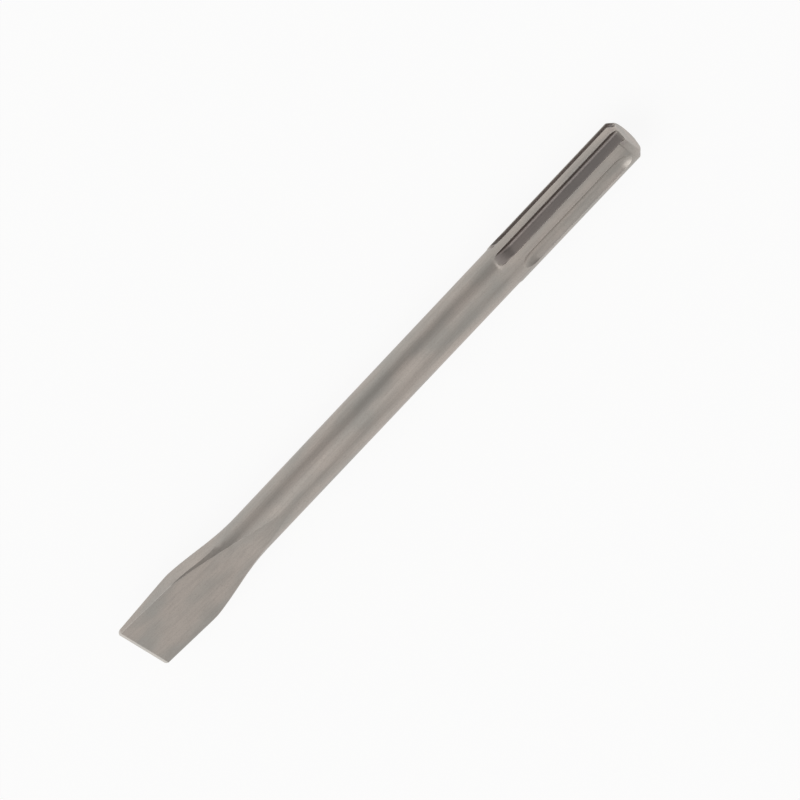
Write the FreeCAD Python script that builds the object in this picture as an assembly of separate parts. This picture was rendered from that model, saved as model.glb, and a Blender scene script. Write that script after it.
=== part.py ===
import FreeCAD, Part
import math
import os

from FreeCAD import Vector

# Flat chisel for a rotary hammer, forged and ground from one round bar of steel.
# The axis of the bar is X. The struck end face is at the origin and faces +X, and the
# cutting edge is at the far end, at -X. The blade is first made flat, with its width along
# Y and its thickness along Z, and the whole chisel is rolled about X at the end, until it
# lies on the floor as it would come to rest: on the lowest line of its shank and on one
# edge of its blade. Sizes are millimetres and angles are degrees.

# Whole chisel and its round bar
overall_length = 280.0
shank_diameter = 18.0
shank_length = 68.0
body_diameter = 17.5
shoulder_length = 1.2

# Struck end
end_chamfer_length = 2.4
end_chamfer_depth = 2.2
end_edge_radius = 0.9

# Grooves of the shank. Their angles are counted about X from the middle of the blade's
# flat, and the pair of open grooves sets the angle of all the others.
open_pair_angle = -78.0
open_pair_spread = 29.0
open_groove_width = 5.2
open_groove_depth = 2.9
wide_groove_width = 7.6
groove_full_length = 60.0
groove_cutter_radius = 12.0
groove_floor_radius = 1.2
locking_groove_width = 6.0
locking_groove_depth = 2.1
locking_groove_from_end = 3.4
locking_groove_to_end = 62.0
locking_cutter_radius = 10.0
groove_edge_break = 0.3

# Blade, with distances counted from the cutting edge
blade_width = 25.0
blade_corner_radius = 0.9
edge_thickness = 0.9
bevel_length = 1.3
wedge_thickness_at_bevel = 2.6
wedge_thickness_at_shoulder = 8.2
shoulder_from_edge = 32.0
run_out_from_edge = 67.0
shoulder_blend_radius = 160.0
outline_shoulder_from_edge = 33.0
outline_neck_from_edge = 54.0
outline_shoulder_radius = 60.0
outline_neck_radius = 90.0
neck_side_clearance = 0.2
flare_end_from_edge = 25.0
flare_start_from_edge = 65.0
flare_overwidth = 1.6
flare_stations = 12

# Room past the metal for the solids that cut it or bound it, and the lift at which a
# groove's cutter is clear of it
margin = 2.0
cutter_lift = 0.5

# Search for the roll at rest: fineness of the surface points, and range of the angle
point_spacing_tolerance = 0.02
steepest_roll = 45.0
halvings = 40

shank_radius = shank_diameter / 2
body_radius = body_diameter / 2
half_width = blade_width / 2
edge_x = -overall_length
flare_start_x = edge_x + flare_start_from_edge
flare_end_x = edge_x + flare_end_from_edge
axis_x = Vector(1, 0, 0)
axis_y = Vector(0, 1, 0)
axis_z = Vector(0, 0, 1)
origin = Vector(0, 0, 0)


def corner_arc(before, corner, after, radius):
    """The start, middle and end of the arc that rounds one corner of an outline."""
    back = (before - corner).normalize()
    onward = (after - corner).normalize()
    half_angle = back.getAngle(onward) / 2
    inward = (back + onward).normalize()
    centre = corner + inward * (radius / math.sin(half_angle))
    reach = radius / math.tan(half_angle)
    return corner + back * reach, centre - inward * radius, corner + onward * reach


def outline_face(corners):
    """A flat face inside a closed outline of (point, rounding radius) pairs."""
    edges = []
    last_end = None
    first_start = None
    for i, (corner, radius) in enumerate(corners):
        before = corners[i - 1][0]
        after = corners[(i + 1) % len(corners)][0]
        start = corner
        end = corner
        arc = None
        if radius > 0:
            start, middle, end = corner_arc(before, corner, after, radius)
            arc = Part.Arc(start, middle, end).toShape()
        if last_end is None:
            first_start = start
        else:
            edges.append(Part.makeLine(last_end, start))
        if arc is not None:
            edges.append(arc)
        last_end = end
    edges.append(Part.makeLine(last_end, first_start))
    return Part.Face(Part.Wire(edges))


def mirrored_outline(corners, across):
    """The same corners on both sides of the X axis, where across is the other direction."""
    other_side = [
        (point - across * (2 * point.dot(across)), radius)
        for point, radius in reversed(corners)
    ]
    return outline_face(corners + other_side)


def solid_between(face, start_x, end_x):
    """A face drawn at x = 0, moved to start_x and drawn out along X to end_x."""
    placed = face.copy()
    placed.translate(Vector(start_x, 0, 0))
    return placed.extrude(Vector(end_x - start_x, 0, 0))


def turned_bar():
    """The round bar: rounded and chamfered struck end, shank, low shoulder and body."""
    chamfer_radius = shank_radius - end_chamfer_depth
    profile = [
        (origin, 0),
        (Vector(0, 0, chamfer_radius), end_edge_radius),
        (Vector(-end_chamfer_length, 0, shank_radius), end_edge_radius),
        (Vector(-shank_length, 0, shank_radius), 0),
        (Vector(-shank_length - shoulder_length, 0, body_radius), 0),
        (Vector(flare_start_x, 0, body_radius), 0),
        (Vector(flare_start_x, 0, 0), 0),
    ]
    return outline_face(profile).revolve(origin, axis_x, 360)


def s_curve(share):
    """A smooth rise from 0 to 1, level at both ends."""
    return share * share * (3 - 2 * share)


def oval(x, half_wide):
    """The forged bar's section at x: as high as the body, and as wide or wider."""
    ellipse = Part.Ellipse(
        Vector(x, half_wide, 0), Vector(x, 0, body_radius), Vector(x, 0, 0)
    )
    return Part.Wire([ellipse.toShape()])


def flared_bar():
    """The stretch where hammering spreads the round bar sideways into an oval."""
    spread = half_width + flare_overwidth - body_radius
    sections = []
    for station in range(flare_stations + 1):
        share = station / flare_stations
        x = flare_start_x + (flare_end_x - flare_start_x) * share
        sections.append(oval(x, body_radius + spread * s_curve(share)))
    flare = Part.makeLoft(sections, True, False)
    last = Part.Face(oval(0, body_radius + spread))
    front = solid_between(last, flare_end_x, edge_x - margin)
    return flare, front


def blade_outline():
    """The chisel seen on the flat: parallel side faces with an S-curve in to the body."""
    neck = body_radius + neck_side_clearance
    wide = half_width + margin
    half = [
        (Vector(edge_x, half_width, 0), blade_corner_radius),
        (Vector(edge_x + outline_shoulder_from_edge, half_width, 0), outline_shoulder_radius),
        (Vector(edge_x + outline_neck_from_edge, neck, 0), outline_neck_radius),
        (Vector(flare_start_x, neck, 0), 0),
        (Vector(flare_start_x, wide, 0), 0),
        (Vector(margin, wide, 0), 0),
    ]
    face = mirrored_outline(half, axis_y)
    face.translate(axis_z * -wide)
    return face.extrude(axis_z * (2 * wide))


def blade_taper():
    """The chisel seen from the side: bevel, wedge, and the steeper run-out to the body."""
    shoulder_half = wedge_thickness_at_shoulder / 2
    run_out_length = run_out_from_edge - shoulder_from_edge
    slope = (body_radius - shoulder_half) / run_out_length
    top = shank_radius + margin
    top_x = edge_x + run_out_from_edge + (top - body_radius) / slope
    half = [
        (Vector(edge_x, 0, edge_thickness / 2), 0),
        (Vector(edge_x + bevel_length, 0, wedge_thickness_at_bevel / 2), 0),
        (Vector(edge_x + shoulder_from_edge, 0, shoulder_half), shoulder_blend_radius),
        (Vector(top_x, 0, top), 0),
        (Vector(margin, 0, top), 0),
    ]
    face = mirrored_outline(half, axis_z)
    wide = half_width + 2 * margin
    face.translate(axis_y * -wide)
    return face.extrude(axis_y * (2 * wide))


def mouth_height(width):
    """How high above the axis a groove's walls end and its broken edges begin."""
    return math.sqrt(shank_radius ** 2 - (width / 2) ** 2) - groove_edge_break


def mouth_points(width):
    """The foot and the top of a broken edge, whose 45 degree slope is drawn on past the metal."""
    top = shank_radius + margin
    foot_height = mouth_height(width)
    foot = Vector(0, width / 2, foot_height)
    return foot, Vector(0, width / 2 + top - foot_height, top)


def open_section(width):
    """A driving groove's section at x = 0: flat floor, rounded corners and broken edges."""
    foot, top = mouth_points(width)
    floor_corner = Vector(0, width / 2, shank_radius - open_groove_depth)
    half = [(top, 0), (foot, 0), (floor_corner, groove_floor_radius)]
    return mirrored_outline(half, axis_y)


def trough_section():
    """A locking groove's section at x = 0: one arc from side to side, and broken edges."""
    foot, top = mouth_points(locking_groove_width)
    other_foot = Vector(0, -foot.y, foot.z)
    other_top = Vector(0, -top.y, top.z)
    deepest = axis_z * (shank_radius - locking_groove_depth)
    edges = [
        Part.makeLine(top, foot),
        Part.Arc(foot, deepest, other_foot).toShape(),
        Part.makeLine(other_foot, other_top),
        Part.makeLine(other_top, top),
    ]
    return Part.Face(Part.Wire(edges))


def run_out(section, x, depth, cutter_radius, towards):
    """The end of a groove, where its disc cutter rises out of the bar from x onwards."""
    start = section.copy()
    start.translate(axis_x * x)
    hub = Vector(x, 0, shank_radius - depth + cutter_radius)
    lift = depth + cutter_lift
    sweep = math.degrees(math.acos(1 - lift / cutter_radius))
    return start.revolve(hub, axis_y * -towards, sweep)


def open_groove(angle, width):
    """A driving groove, open at the struck end."""
    section = open_section(width)
    channel = solid_between(section, margin, -groove_full_length)
    end = run_out(section, -groove_full_length, open_groove_depth, groove_cutter_radius, -1)
    cutter = channel.fuse(end)
    cutter.rotate(origin, axis_x, angle)
    return cutter


def locking_groove(angle):
    """A closed trough, in which the hammer's locking segment slides."""
    hub_above_surface = locking_cutter_radius - locking_groove_depth
    reach = math.sqrt(locking_cutter_radius ** 2 - hub_above_surface ** 2)
    near_x = -locking_groove_from_end - reach
    far_x = -locking_groove_to_end + reach
    section = trough_section()
    channel = solid_between(section, near_x, far_x)
    near = run_out(section, near_x, locking_groove_depth, locking_cutter_radius, 1)
    far = run_out(section, far_x, locking_groove_depth, locking_cutter_radius, -1)
    cutter = channel.fuse([near, far])
    cutter.rotate(origin, axis_x, angle)
    return cutter


def grooved(bar):
    """The shank with its three open driving grooves and its two locking grooves."""
    cutters = [
        open_groove(open_pair_angle - open_pair_spread, open_groove_width),
        open_groove(open_pair_angle + open_pair_spread, open_groove_width),
        open_groove(open_pair_angle + 180, wide_groove_width),
        locking_groove(open_pair_angle + 90),
        locking_groove(open_pair_angle - 90),
    ]
    for cutter in cutters:
        bar = bar.cut(cutter)
    return bar


def resting_roll(chisel):
    """The roll about X at which the blade's lower edge is level with the shank's lowest line."""
    points = chisel.tessellate(point_spacing_tolerance)[0]
    blade = [p for p in points if p.x < flare_start_x]
    low = 0.0
    high = steepest_roll
    for _ in range(halvings):
        roll = (low + high) / 2
        s = math.sin(math.radians(roll))
        c = math.cos(math.radians(roll))
        depth = max(-(p.y * s + p.z * c) for p in blade)
        if depth < shank_radius:
            low = roll
        else:
            high = roll
    return low


def flat_chisel():
    """The whole chisel as one solid, rolled to the way it lies."""
    flare, front = flared_bar()
    bar = turned_bar().fuse([flare, front])
    forged = bar.common(blade_outline()).common(blade_taper())
    chisel = grooved(forged)
    roll = resting_roll(chisel)
    chisel.rotate(origin, axis_x, roll)
    print("roll at rest, degrees:", round(roll, 3))
    return chisel.Solids[0]


os.makedirs("parts", exist_ok=True)
chisel = flat_chisel()
print("valid:", chisel.isValid(), "faces:", len(chisel.Faces), "volume, mm3:", chisel.Volume)
print("box:", chisel.BoundBox)
chisel.exportStep("parts/chisel.step")
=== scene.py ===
# %% [markdown]
# # Flat chisel for a rotary hammer
# This script dresses a forged steel chisel, which lies on a pale floor. The box of the CAD
# model is kept straight away, because the dressed chisel has to fill the same one.

# %% Load the frame
import math

import bmesh
import bpy
from mathutils import Matrix, Vector


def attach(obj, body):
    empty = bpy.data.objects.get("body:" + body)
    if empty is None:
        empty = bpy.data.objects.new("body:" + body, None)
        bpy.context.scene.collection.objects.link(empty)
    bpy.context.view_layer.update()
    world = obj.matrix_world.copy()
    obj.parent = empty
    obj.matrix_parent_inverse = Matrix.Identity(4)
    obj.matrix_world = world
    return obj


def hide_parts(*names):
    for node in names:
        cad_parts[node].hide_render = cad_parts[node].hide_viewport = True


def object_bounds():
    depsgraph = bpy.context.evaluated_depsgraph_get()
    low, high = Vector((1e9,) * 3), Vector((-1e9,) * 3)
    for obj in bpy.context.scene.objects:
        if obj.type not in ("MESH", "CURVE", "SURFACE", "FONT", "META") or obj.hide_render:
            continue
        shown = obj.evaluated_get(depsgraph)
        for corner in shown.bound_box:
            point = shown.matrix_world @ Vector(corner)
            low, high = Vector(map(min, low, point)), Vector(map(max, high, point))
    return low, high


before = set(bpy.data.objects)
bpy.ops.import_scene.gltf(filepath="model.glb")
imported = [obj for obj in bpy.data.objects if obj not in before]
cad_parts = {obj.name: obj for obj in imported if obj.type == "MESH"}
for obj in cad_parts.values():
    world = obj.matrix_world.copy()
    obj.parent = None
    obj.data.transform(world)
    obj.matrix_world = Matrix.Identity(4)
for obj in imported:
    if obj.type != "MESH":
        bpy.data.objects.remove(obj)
cad_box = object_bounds()
chisel_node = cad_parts["chisel"]
mm = 0.001
print("CAD box, mm:", [[round(c / mm, 2) for c in corner] for corner in cad_box])

# %% [markdown]
# ## Camera
# The photograph looks down on the chisel almost from above, with a long lens, and the bar
# runs from the lower left to the upper right. The camera could be turned by three angles,
# but those are hard to read. Here the direction to the camera is written down, and the
# picture's right and up directions are built from the way the bar runs in the picture.

# %% Camera: where it stands and what it aims at
distance = 1.688
lean_along_bar = math.radians(15.97)
lean_across_bar = math.radians(5.93)
bar_in_picture = math.radians(46.60)
aim_offset = (7.98 * mm, -0.84 * mm)
middle_of_bar = Vector((-140 * mm, 0, 0))

to_camera = Vector((
    math.sin(lean_along_bar),
    math.cos(lean_along_bar) * math.sin(lean_across_bar),
    math.cos(lean_along_bar) * math.cos(lean_across_bar),
))
bar_axis = Vector((1, 0, 0))
along = (bar_axis - to_camera * bar_axis.dot(to_camera)).normalized()
across = along.cross(to_camera)
right = along * math.cos(bar_in_picture) + across * math.sin(bar_in_picture)
up = along * math.sin(bar_in_picture) - across * math.cos(bar_in_picture)
aim = middle_of_bar + right * aim_offset[0] + up * aim_offset[1]
eye = middle_of_bar + to_camera * distance
print("camera at, m:", [round(c, 3) for c in eye])

# %% Camera: turned to its aim
sensor_width_mm = 36.0
lens_mm = 199.1

back = (eye - aim).normalized()
right = (right - back * right.dot(back)).normalized()
up = back.cross(right)
camera = bpy.data.objects.new("camera", bpy.data.cameras.new("camera"))
bpy.context.scene.collection.objects.link(camera)
camera.location = eye
camera.rotation_mode = "QUATERNION"
camera.rotation_quaternion = Matrix((right, up, back)).transposed().to_quaternion()
camera.data.sensor_width = sensor_width_mm
camera.data.lens = lens_mm
bpy.context.scene.camera = camera
print("lens, mm:", lens_mm)

# %% [markdown]
# ## Nodes and colours
# Each material is a small tree of nodes. One helper adds a node with its settings and its
# links, and another turns a colour as it is seen on a screen into the linear value that
# the renderer wants. The colours could be written as linear values straight away, but a
# hex value can be compared with what any picture shows.

# %% Helpers for materials
def linear(hex_colour):
    """The linear RGBA of an sRGB colour written as RRGGBB, by the sRGB curve."""
    channels = [int(hex_colour[i:i + 2], 16) / 255 for i in (0, 2, 4)]
    return [
        c / 12.92 if c <= 0.04045 else ((c + 0.055) / 1.055) ** 2.4 for c in channels
    ] + [1.0]


def add_node(tree, kind, inputs=None, **settings):
    """Adds a node. inputs gives sockets a value, or links them to another node's socket."""
    node = tree.nodes.new(kind)
    for name, value in settings.items():
        setattr(node, name, value)
    for name, value in (inputs or {}).items():
        if isinstance(value, bpy.types.NodeSocket):
            tree.links.new(value, node.inputs[name])
        else:
            node.inputs[name].default_value = value
    return node


def new_material(name):
    """An empty material, its node tree and its output node."""
    material = bpy.data.materials.new(name)
    material.use_nodes = True
    material.node_tree.nodes.clear()
    output = material.node_tree.nodes.new("ShaderNodeOutputMaterial")
    return material, material.node_tree, output


print("middle grey 808080 is", round(linear("808080")[0], 3), "in linear light")

# %% [markdown]
# ## Steel of the chisel
# The real tool is forged and hardened tool steel that was blasted clean with grit, which
# leaves a satin, warm grey skin. It could be one flat grey metal, but then the bar would
# look like plastic foil. Four things are laid over the grey instead, and each has its size
# in millimetres: broad warm and cool clouds left by the heat treatment, faint lines along
# the bar from drawing it, the fine grain of the grit, and edges rubbed brighter by use.
# The patterns read Object coordinates, which are metres in the tool's own frame.

# %% Blasted tool steel: where the patterns lie
cloud_size = 9 * mm
cloud_stretch = 2.5
line_spacing = 0.7 * mm
line_stretch = 40
# Grit pits are about 0.1 mm wide, finer than the render shows, so they are drawn at 0.45 mm.
grain_size = 0.45 * mm

steel, tree, output = new_material("blasted tool steel")
place = add_node(tree, "ShaderNodeTexCoord").outputs["Object"]
cloud_place = add_node(tree, "ShaderNodeMapping", {
    "Vector": place, "Scale": (1 / cloud_stretch, 1, 1),
})
clouds = add_node(tree, "ShaderNodeTexNoise", {
    "Vector": cloud_place.outputs[0], "Scale": 1 / cloud_size, "Detail": 2.0,
}).outputs[0]
line_place = add_node(tree, "ShaderNodeMapping", {
    "Vector": place, "Scale": (1 / line_stretch, 1, 1),
})
draw_lines = add_node(tree, "ShaderNodeTexNoise", {
    "Vector": line_place.outputs[0], "Scale": 1 / line_spacing, "Detail": 1.0,
}).outputs[0]
grain = add_node(tree, "ShaderNodeTexNoise", {
    "Vector": place, "Scale": 1 / grain_size, "Detail": 2.0,
}).outputs[0]
print("clouds, lines and grain, mm:", [s / mm for s in (cloud_size, line_spacing, grain_size)])

# %% [markdown]
# ## Grooves of the shank
# The driving grooves were milled after the bar was turned, and the holder's keys have slid
# in them, so their floors are smoother than the blasted skin; their colour is also set darker.
# The mask could be painted, but it is simply worked out: a point of the shank that lies deeper
# than the bar's surface, and that faces the pair of grooves or the wide one opposite, is a
# groove's wall.

# %% Mask of the driving grooves: which way they face
pair_turn = math.radians(-52.3)
pair_direction = (0, -math.sin(pair_turn), math.cos(pair_turn))
# Cosines of the angle to that direction at which the mask begins and is full
sector_cosines = (0.50, 0.56)

across_bar = add_node(tree, "ShaderNodeVectorMath", {
    0: place, 1: (0, 1, 1),
}, operation="MULTIPLY").outputs["Vector"]
outward = add_node(tree, "ShaderNodeVectorMath", {0: across_bar}, operation="NORMALIZE")
towards_pair = add_node(tree, "ShaderNodeVectorMath", {
    0: outward.outputs["Vector"], 1: pair_direction,
}, operation="DOT_PRODUCT").outputs["Value"]
either_way = add_node(tree, "ShaderNodeMath", {0: towards_pair}, operation="ABSOLUTE")
facing_pair = add_node(tree, "ShaderNodeMapRange", {
    "Value": either_way.outputs[0],
    "From Min": sector_cosines[0],
    "From Max": sector_cosines[1],
})
print("the pair of grooves faces", [round(c, 2) for c in pair_direction])

# %% Mask of the driving grooves: how deep and how far along they lie
# Each pair says where its part of the mask begins and where it is full
skin_radii = (8.75 * mm, 8.35 * mm)
foot_of_shank = (-71 * mm, -69.5 * mm)
rim_of_end_face = (-0.6 * mm, -1.6 * mm)

radius = add_node(tree, "ShaderNodeVectorMath", {0: across_bar}, operation="LENGTH")
below_surface = add_node(tree, "ShaderNodeMapRange", {
    "Value": radius.outputs["Value"], "From Min": skin_radii[0], "From Max": skin_radii[1],
}, interpolation_type="SMOOTHSTEP")
station = add_node(tree, "ShaderNodeSeparateXYZ", {"Vector": place}).outputs["X"]
on_shank = add_node(tree, "ShaderNodeMapRange", {
    "Value": station, "From Min": foot_of_shank[0], "From Max": foot_of_shank[1],
})
off_end_face = add_node(tree, "ShaderNodeMapRange", {
    "Value": station, "From Min": rim_of_end_face[0], "From Max": rim_of_end_face[1],
})
deep_in_pair = add_node(tree, "ShaderNodeMath", {
    0: facing_pair.outputs[0], 1: below_surface.outputs[0],
}, operation="MULTIPLY")
within_shank = add_node(tree, "ShaderNodeMath", {
    0: on_shank.outputs[0], 1: off_end_face.outputs[0],
}, operation="MULTIPLY")
grooves = add_node(tree, "ShaderNodeMath", {
    0: deep_in_pair.outputs[0], 1: within_shank.outputs[0],
}, operation="MULTIPLY").outputs[0]
print("groove walls are the metal below a radius of, mm:", round(skin_radii[0] / mm, 2))

# %% [markdown]
# ## Rubbed edges
# Handling wears the blasted skin off the sharp corners first, and grinding takes it off the
# cutting edge. The Bevel node looks round a corner within a small radius and returns a
# softened normal. Where that differs from the true one there is a corner, so the difference
# serves as a mask of the wear. Painting the edges by hand would follow them less closely.

# %% Mask of the rubbed edges
edge_radius = 0.5 * mm
# Each pair says where its mask begins and where it is full
corner_cosines = (0.97, 0.84)
ground_stretch = (-278.4 * mm, -278.8 * mm)
share_rubbed_off = 0.5
looks_round_corner = 6

softened = add_node(tree, "ShaderNodeBevel", {
    "Radius": edge_radius,
}, samples=looks_round_corner).outputs[0]
true_normal = add_node(tree, "ShaderNodeNewGeometry").outputs["Normal"]
agreement = add_node(tree, "ShaderNodeVectorMath", {
    0: softened, 1: true_normal,
}, operation="DOT_PRODUCT").outputs["Value"]
worn = add_node(tree, "ShaderNodeMapRange", {
    "Value": agreement,
    "From Min": corner_cosines[0],
    "From Max": corner_cosines[1],
    "To Max": share_rubbed_off,
}, interpolation_type="SMOOTHSTEP")
ground_edge = add_node(tree, "ShaderNodeMapRange", {
    "Value": station,
    "From Min": ground_stretch[0],
    "From Max": ground_stretch[1],
    "To Max": share_rubbed_off,
})
bare = add_node(tree, "ShaderNodeMath", {
    0: worn.outputs[0], 1: ground_edge.outputs[0],
}, operation="MAXIMUM").outputs[0]
print("corners are rubbed within, mm:", edge_radius / mm)

# %% [markdown]
# ## Putting the steel together
# The colours are mixed first, from cool to warm grey, then darker in the grooves and
# lighter on bare edges. Roughness follows the same masks. The grain and the lines are only
# a few hundredths of a millimetre deep, so they are a bump, and the metal keeps its
# default index of refraction.

# %% Blasted tool steel: colour
layers = [
    # mask, the values between which it works, its share at the second one, and the colour
    (clouds, 0.36, 0.64, 1.0, "B9B0A8"),
    (draw_lines, 0.42, 0.72, 0.35, "9E968F"),
    (grain, 0.50, 0.72, 0.40, "978F88"),
    (grooves, 0.0, 1.0, 0.35, "8E8285"),
    (bare, 0.0, 1.0, 1.0, "DAD6D0"),
]
colour = linear("AAA6A0")
for mask, start, end, share, tint in layers:
    cover = add_node(tree, "ShaderNodeMapRange", {
        "Value": mask, "From Min": start, "From Max": end, "To Max": share,
    })
    colour = add_node(tree, "ShaderNodeMix", {
        "Factor": cover.outputs[0], 6: colour, 7: linear(tint),
    }, data_type="RGBA").outputs[2]
print("colour layers over the grey:", len(layers))

# %% Blasted tool steel: roughness and grain
grain_span = (0.3, 0.7)
blasted_roughness = (0.42, 0.50)
smoother = ((grooves, 0.07), (bare, 0.14))
line_share_of_height = 0.6
pit_depth = 0.05 * mm
pit_strength = 0.35

roughness = add_node(tree, "ShaderNodeMapRange", {
    "Value": grain,
    "From Min": grain_span[0],
    "From Max": grain_span[1],
    "To Min": blasted_roughness[0],
    "To Max": blasted_roughness[1],
}).outputs[0]
for mask, smoother_by in smoother:
    roughness = add_node(tree, "ShaderNodeMath", {
        0: mask, 1: -smoother_by, 2: roughness,
    }, operation="MULTIPLY_ADD").outputs[0]
height = add_node(tree, "ShaderNodeMath", {
    0: draw_lines, 1: line_share_of_height, 2: grain,
}, operation="MULTIPLY_ADD").outputs[0]
bump = add_node(tree, "ShaderNodeBump", {
    "Strength": pit_strength, "Distance": pit_depth, "Height": height,
})
shader = add_node(tree, "ShaderNodeBsdfPrincipled", {
    "Base Color": colour, "Metallic": 1.0, "Roughness": roughness, "Normal": bump.outputs[0],
})
tree.links.new(shader.outputs["BSDF"], output.inputs["Surface"])
chisel_node.material_slots[0].material = steel
print("steel has", len(tree.nodes), "nodes")

# %% [markdown]
# ## Flat of the blade
# On the real tool the hammer draws the flat out thin over most of the blade, and then lets
# it rise quickly into the round bar, which leaves a fold on each side. The CAD solid rises
# earlier and more evenly. The faces could be drawn again by hand, but one wedge-shaped
# cutter, taken away from a copy of the solid on both flats, gives the same crisp border.
# Its underside follows the real flat from the thin wedge through the fold, and then levels
# off just above the round bar, so that the flat narrows to a point and fades into the bar.
# Only steel is taken away, so the blade stays inside the solid that it stands for.

# %% Outline of the cutter: distances from the cutting edge, and heights over the axis
# The chisel lies on its shank and on one edge of its blade, which rolls the flats this far
blade_roll = math.radians(25.68)
cutting_edge_x = -280 * mm
flat_start = (15 * mm, 2.84 * mm)
fold = (56 * mm, 5.50 * mm)
run_out_slope = 0.17
just_above_bar = 8.78 * mm
run_out_end = (fold[0] + (just_above_bar - fold[1]) / run_out_slope, just_above_bar)
cutter_end = 105 * mm
cutter_top = 14 * mm
cutter_half_width = 16 * mm
cutter_outline = (
    flat_start, fold, run_out_end, (cutter_end, just_above_bar),
    (cutter_end, cutter_top), (flat_start[0], cutter_top),
)
# Each bend is rounded this far to both sides, and together the two roundings stay shorter
# than the run-out between the bends
roundings = ((fold, 8 * mm), (run_out_end, 11 * mm))
rounding_segments = 8
same_place = 0.01 * mm
print("the run-out ends, mm from the edge:", round(run_out_end[0] / mm, 1))


# %% Cutter for one flat
def is_at_corner(vert, corner):
    """Whether a vertex of the cutter lies at this corner of its outline, on either side."""
    off_x = abs(vert.co.x - cutting_edge_x - corner[0])
    off_z = abs(vert.co.z - corner[1])
    return off_x < same_place and off_z < same_place


def flat_cutter(name, turn):
    """The wedge that lies over one flat, turned about the bar."""
    bm = bmesh.new()
    side = bm.faces.new([
        bm.verts.new((cutting_edge_x + from_edge, -cutter_half_width, height))
        for from_edge, height in cutter_outline
    ])
    swept = bmesh.ops.extrude_face_region(bm, geom=[side])
    moved = [item for item in swept["geom"] if isinstance(item, bmesh.types.BMVert)]
    bmesh.ops.translate(bm, verts=moved, vec=Vector((0, 2 * cutter_half_width, 0)))
    for corner, rounding in roundings:
        corner_edge = [
            edge for edge in bm.edges if all(is_at_corner(v, corner) for v in edge.verts)
        ]
        bmesh.ops.bevel(bm, geom=corner_edge, offset=rounding, segments=rounding_segments,
                        profile=0.5, affect="EDGES", material=-1)
    bmesh.ops.recalc_face_normals(bm, faces=bm.faces)
    bmesh.ops.rotate(bm, verts=bm.verts, cent=(0, 0, 0),
                     matrix=Matrix.Rotation(blade_roll + turn, 3, "X"))
    mesh = bpy.data.meshes.new(name)
    bm.to_mesh(mesh)
    bm.free()
    return bpy.data.objects.new(name, mesh)


cutters = [flat_cutter("upper_cutter", 0.0), flat_cutter("lower_cutter", math.pi)]
print("faces of each cutter:", [len(cutter.data.polygons) for cutter in cutters])

# %% [markdown]
# ## Cutting the flats
# The CAD mesh comes as many open sheets that only touch. A Boolean needs a closed body, so
# the sheets are merged first, in a copy. The two cutters could be joined into one, but with
# a modifier each, the two cuts stay apart and easy to check. Both are worked out, so the
# piece keeps no live modifier.

# %% Forged chisel with both flats cut
merge_distance = 0.001 * mm


def finished_mesh(piece):
    """The mesh of a piece with its modifiers worked out."""
    bpy.context.view_layer.update()
    evaluated = piece.evaluated_get(bpy.context.evaluated_depsgraph_get())
    mesh = bpy.data.meshes.new_from_object(evaluated)
    piece.modifiers.clear()
    return mesh


bm = bmesh.new()
bm.from_mesh(chisel_node.data)
bmesh.ops.remove_doubles(bm, verts=bm.verts, dist=merge_distance)
merged = bpy.data.meshes.new("forged_chisel")
bm.to_mesh(merged)
bm.free()
forged_chisel = bpy.data.objects.new("forged_chisel", merged)
bpy.context.scene.collection.objects.link(forged_chisel)
for cutter in cutters:
    bpy.context.scene.collection.objects.link(cutter)
    cut = forged_chisel.modifiers.new(cutter.name, "BOOLEAN")
    cut.operation = "DIFFERENCE"
    cut.solver = "EXACT"
    cut.object = cutter
forged_chisel.data = finished_mesh(forged_chisel)
for cutter in cutters:
    bpy.data.objects.remove(cutter)
print("faces after the cuts:", len(forged_chisel.data.polygons))

# %% [markdown]
# ## Crisp borders of the flats
# The flats meet the round bar in a clear line, which gets shallower towards the bar until
# it is gone. One angle for the whole mesh would draw that line only where it is steep, and
# stop it suddenly. So an edge between a flat and the bar stays crisp down to a much smaller
# angle than the edges between the small faces of the round bar, which have to look smooth.

# %% Smooth round faces and crisp borders
sharpest_smooth_angle = math.radians(20)
sharpest_smooth_border = math.radians(8)
level_with_flat = Vector((0, math.cos(blade_roll), math.sin(blade_roll)))
level_tolerance = 0.005


def is_flat_face(face):
    """Whether a face belongs to one of the blade's flats, which are level across it."""
    on_blade = face.calc_center_median().x < cutting_edge_x + cutter_end
    return on_blade and abs(face.normal.dot(level_with_flat)) < level_tolerance


bm = bmesh.new()
bm.from_mesh(forged_chisel.data)
bm.normal_update()
for face in bm.faces:
    face.smooth = True
crisp_edges = 0
for edge in bm.edges:
    is_border = len({is_flat_face(face) for face in edge.link_faces}) == 2
    sharpest = sharpest_smooth_border if is_border else sharpest_smooth_angle
    edge.smooth = edge.calc_face_angle(math.pi) < sharpest
    crisp_edges += not edge.smooth
bm.to_mesh(forged_chisel.data)
bm.free()
print("crisp edges:", crisp_edges)

# %% [markdown]
# ## Shading and place of the forged chisel
# Smooth shading makes streaks where long thin triangles lie next to large faces, because
# the size of a face doesn't count in it. Weighted normals let the large faces decide. Then
# the piece gets its steel, rides on the only body, and stands for the CAD node, which
# MuJoCo keeps for collision.

# %% Weighted normals, steel and the frame
weighted = forged_chisel.modifiers.new("weighted normals", "WEIGHTED_NORMAL")
weighted.keep_sharp = True
forged_chisel.data = finished_mesh(forged_chisel)
forged_chisel.data.materials.clear()
forged_chisel.data.materials.append(steel)
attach(forged_chisel, "root")
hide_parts("chisel")

bm = bmesh.new()
bm.from_mesh(forged_chisel.data)
open_edges = sum(1 for edge in bm.edges if not edge.is_manifold)
volume_in_mm3 = round(bm.calc_volume() / mm ** 3)
print("faces:", len(bm.faces), "open edges:", open_edges, "volume, mm3:", volume_in_mm3)
bm.free()

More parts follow.
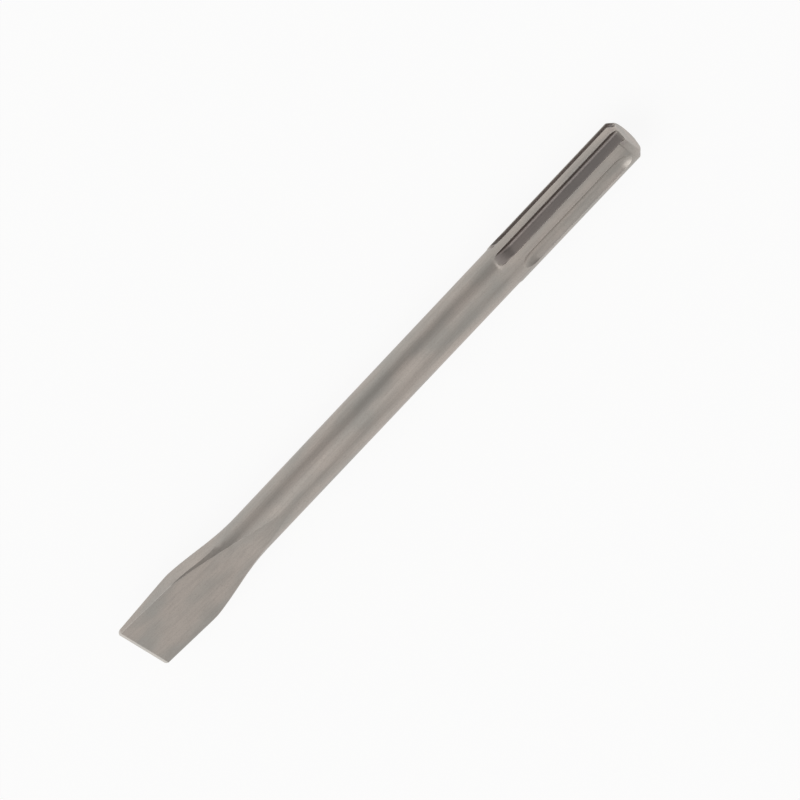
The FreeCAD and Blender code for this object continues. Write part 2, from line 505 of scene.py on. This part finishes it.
# %% [markdown]
# ## Floor
# The chisel lies on white paper. The floor is one large square at the height of the
# chisel's lowest point. Paper alone would need far too much lamp light to look white, so
# most of what the camera sees of it is a plain white glow, which metal reflects as well.
# The rest is real paper, and that part keeps the soft shadow of the chisel.

# %% Floor: its square
floor_half_width = 6.0
lowest_point = cad_box[0][2]
floor_mesh = bpy.data.meshes.new("floor")
bm = bmesh.new()
bmesh.ops.create_grid(bm, x_segments=1, y_segments=1, size=floor_half_width)
bmesh.ops.translate(bm, verts=bm.verts, vec=Vector((0, 0, lowest_point)))
bm.to_mesh(floor_mesh)
bm.free()
floor = bpy.data.objects.new("floor", floor_mesh)
bpy.context.scene.collection.objects.link(floor)
print("floor at z, mm:", round(lowest_point / mm, 2))

# %% Floor: white studio paper
plain_white = 1.0
glowing_share = 0.9

floor_paper, tree, output = new_material("white studio paper")
light_path = add_node(tree, "ShaderNodeLightPath")
seen_directly = add_node(tree, "ShaderNodeMath", {
    0: light_path.outputs["Is Camera Ray"], 1: light_path.outputs["Is Glossy Ray"],
}, operation="MAXIMUM")
seen = add_node(tree, "ShaderNodeMath", {
    0: seen_directly.outputs[0], 1: light_path.outputs["Is Transmission Ray"],
}, operation="MAXIMUM")
white_share = add_node(tree, "ShaderNodeMath", {
    0: seen.outputs[0], 1: glowing_share,
}, operation="MULTIPLY")
paper = add_node(tree, "ShaderNodeBsdfDiffuse", {"Color": linear("F4F3F1")})
glow = add_node(tree, "ShaderNodeEmission", {
    "Color": linear("FFFFFF"), "Strength": plain_white,
})
mix = add_node(tree, "ShaderNodeMixShader", {
    0: white_share.outputs[0], 1: paper.outputs[0], 2: glow.outputs[0],
})
tree.links.new(mix.outputs[0], output.inputs["Surface"])
# The glow depends on the kind of ray, so the floor isn't also sampled as a lamp.
floor_paper.cycles.emission_sampling = "NONE"
floor.data.materials.append(floor_paper)
print("paper has", len(tree.nodes), "nodes")

# %% [markdown]
# ## Light
# Round metal shows nothing but its surroundings, so the soft light on it is the shape of
# the room. The tool lies in a tent of white cloth. A softbox shines through the cloth
# beyond the blade's end, and above the bar is the dark opening for the camera, which makes
# the long dark band on the bar. Lamps could do the same, but a lamp's edge is sharp in
# metal, and these fade out softly. Each patch stands at an angle of lean along the bar and
# of turn about it, both in degrees from straight up. It is full up to one angle from its
# middle and has faded out at the other, and a brightness of 1 is white.

# %% World: tent, softbox and opening
tent_brightness = 0.60
softbox = {"lean": -52, "turn": -2, "full_to": 12, "fades_out_at": 42, "change": 1.85}
opening = {"lean": -2, "turn": -23, "full_to": 17, "fades_out_at": 48, "change": -0.43}

world = bpy.data.worlds.new("studio")
bpy.context.scene.world = world
world.use_nodes = True
tree = world.node_tree
tree.nodes.clear()
direction = add_node(tree, "ShaderNodeTexCoord").outputs["Generated"]
sky = tent_brightness
for patch in (softbox, opening):
    lean = math.radians(patch["lean"])
    turn = math.radians(patch["turn"])
    centre = (math.sin(lean), -math.sin(turn) * math.cos(lean), math.cos(turn) * math.cos(lean))
    nearness = add_node(tree, "ShaderNodeVectorMath", {
        0: direction, 1: centre,
    }, operation="DOT_PRODUCT")
    change = add_node(tree, "ShaderNodeMapRange", {
        "Value": nearness.outputs["Value"],
        "From Min": math.cos(math.radians(patch["fades_out_at"])),
        "From Max": math.cos(math.radians(patch["full_to"])),
        "To Max": patch["change"],
    }, interpolation_type="SMOOTHSTEP")
    sky = add_node(tree, "ShaderNodeMath", {
        0: change.outputs[0], 1: sky,
    }, operation="ADD").outputs[0]
    print("patch towards", [round(c, 2) for c in centre], "changes the tent by", patch["change"])

# %% World: white wall round the horizon
wall_top_start = math.radians(5)
wall_top_end = math.radians(18)

height_in_sky = add_node(tree, "ShaderNodeSeparateXYZ", {"Vector": direction}).outputs["Z"]
above_wall = add_node(tree, "ShaderNodeMapRange", {
    "Value": height_in_sky,
    "From Min": math.sin(wall_top_start),
    "From Max": math.sin(wall_top_end),
}, interpolation_type="SMOOTHSTEP")
dome = add_node(tree, "ShaderNodeBackground", {"Color": linear("FFFFFF"), "Strength": sky})
wall = add_node(tree, "ShaderNodeBackground", {
    "Color": linear("FFFFFF"), "Strength": plain_white,
})
studio = add_node(tree, "ShaderNodeMixShader", {
    0: above_wall.outputs[0], 1: wall.outputs[0], 2: dome.outputs[0],
})
output = add_node(tree, "ShaderNodeOutputWorld")
tree.links.new(studio.outputs[0], output.inputs["Surface"])
bpy.context.scene.view_settings.view_transform = "Standard"
print("sky has", len(tree.nodes), "nodes")
